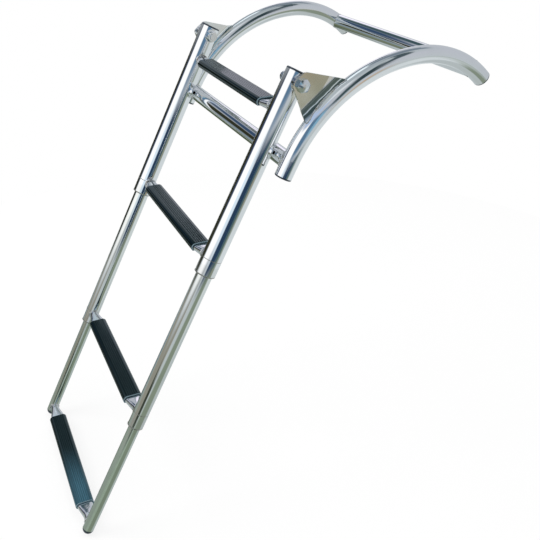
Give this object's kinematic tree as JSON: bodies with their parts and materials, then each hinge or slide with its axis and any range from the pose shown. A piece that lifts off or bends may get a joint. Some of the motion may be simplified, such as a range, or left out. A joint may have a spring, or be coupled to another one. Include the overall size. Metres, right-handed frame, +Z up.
{
  "type": "telescopic boat ladder",
  "caption": "Telescoping boarding ladder hinged to bent tube arms that hook over a boat's gunwale, with ribbed flattened-tube steps.",
  "frame": {"origin": "midway between the arms, under the crown of their bends, where they lie on the gunwale", "axes": "+Z up with the steps level, +X to the right across the ladder, +Y inboard, away from the climber"},
  "size_m": [0.4204, 0.6851, 0.7523],
  "materials": {
    "polished_tube": "polished stainless",
    "collar_steel": "polished stainless, slightly duller",
    "bracket_steel": "smooth sheet",
    "bolt_steel": "bright",
    "guide_plastic": "matte",
    "tread_rubber": "ribbed matte"
  },
  "bodies": {
    "hook_frame": {"left_arm": "polished_tube", "right_arm": "polished_tube", "left_arm_lower_cap": "polished_tube", "right_arm_lower_cap": "polished_tube", "left_arm_tip_cap": "polished_tube", "right_arm_tip_cap": "polished_tube", "left_bracket": "bracket_steel", "right_bracket": "bracket_steel", "left_pivot_bolt": "bolt_steel", "right_pivot_bolt": "bolt_steel", "left_pivot_nut": "bolt_steel", "right_pivot_nut": "bolt_steel", "left_pivot_washer": "guide_plastic", "right_pivot_washer": "guide_plastic", "left_pivot_spacer": "polished_tube", "right_pivot_spacer": "polished_tube", "lower_cross_tube": "polished_tube", "upper_cross_tube": "polished_tube"},
    "upper_section": {"left_upper_rail": "polished_tube", "right_upper_rail": "polished_tube", "left_rail_top_cap": "polished_tube", "right_rail_top_cap": "polished_tube", "left_upper_collar": "collar_steel", "right_upper_collar": "collar_steel", "step_one_bar": "polished_tube", "step_one_tread": "tread_rubber", "step_two_bar": "polished_tube", "step_two_tread": "tread_rubber"},
    "middle_section": {"left_middle_rail": "polished_tube", "right_middle_rail": "polished_tube", "left_middle_collar": "collar_steel", "right_middle_collar": "collar_steel", "left_middle_glide": "guide_plastic", "right_middle_glide": "guide_plastic", "step_three_bar": "polished_tube", "step_three_tread": "tread_rubber"},
    "lower_section": {"left_lower_rail": "polished_tube", "right_lower_rail": "polished_tube", "left_lower_glide": "guide_plastic", "right_lower_glide": "guide_plastic", "left_foot_cap": "collar_steel", "right_foot_cap": "collar_steel", "step_four_bar": "polished_tube", "step_four_tread": "tread_rubber"}
  },
  "joints": [
    {"name": "ladder_fold", "type": "hinge", "parent": "hook_frame", "child": "upper_section", "pos_m": [0, -0.18278, -0.01163], "axis": [-1, 0, 0], "range_deg": [0, 236.5]},
    {"name": "middle_slide", "type": "slide", "parent": "upper_section", "child": "middle_section", "axis": [0, 0.4617, 0.887], "range_m": [0, 0.245]},
    {"name": "lower_slide", "type": "slide", "parent": "middle_section", "child": "lower_section", "axis": [0, 0.4617, 0.887], "range_m": [0, 0.189]}
  ]
}
